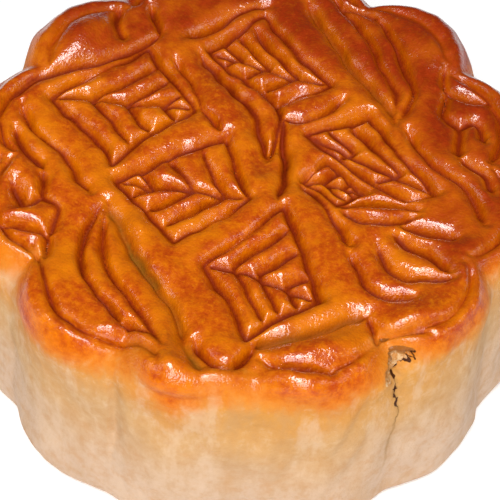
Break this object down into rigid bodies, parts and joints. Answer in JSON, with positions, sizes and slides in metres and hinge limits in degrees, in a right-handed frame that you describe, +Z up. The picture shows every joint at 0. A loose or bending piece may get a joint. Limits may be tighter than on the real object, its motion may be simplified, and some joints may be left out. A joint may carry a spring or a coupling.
{
  "type": "mooncake",
  "caption": "Whole baked mooncake: a round cake with a lobed wall, a rolled shoulder and a pressed top of leaves, petals and veined leaf panels, resting on its flat base.",
  "frame": {"origin": "centre of the flat base", "axes": "+Z up through the pressed top; +X and +Y lie in the base, with +X to the right of somebody who looks along +Y"},
  "size_m": [0.079, 0.0792, 0.0349],
  "materials": {
    "crust": null
  },
  "bodies": {
    "root": {"mooncake": "crust"}
  },
  "joints": []
}
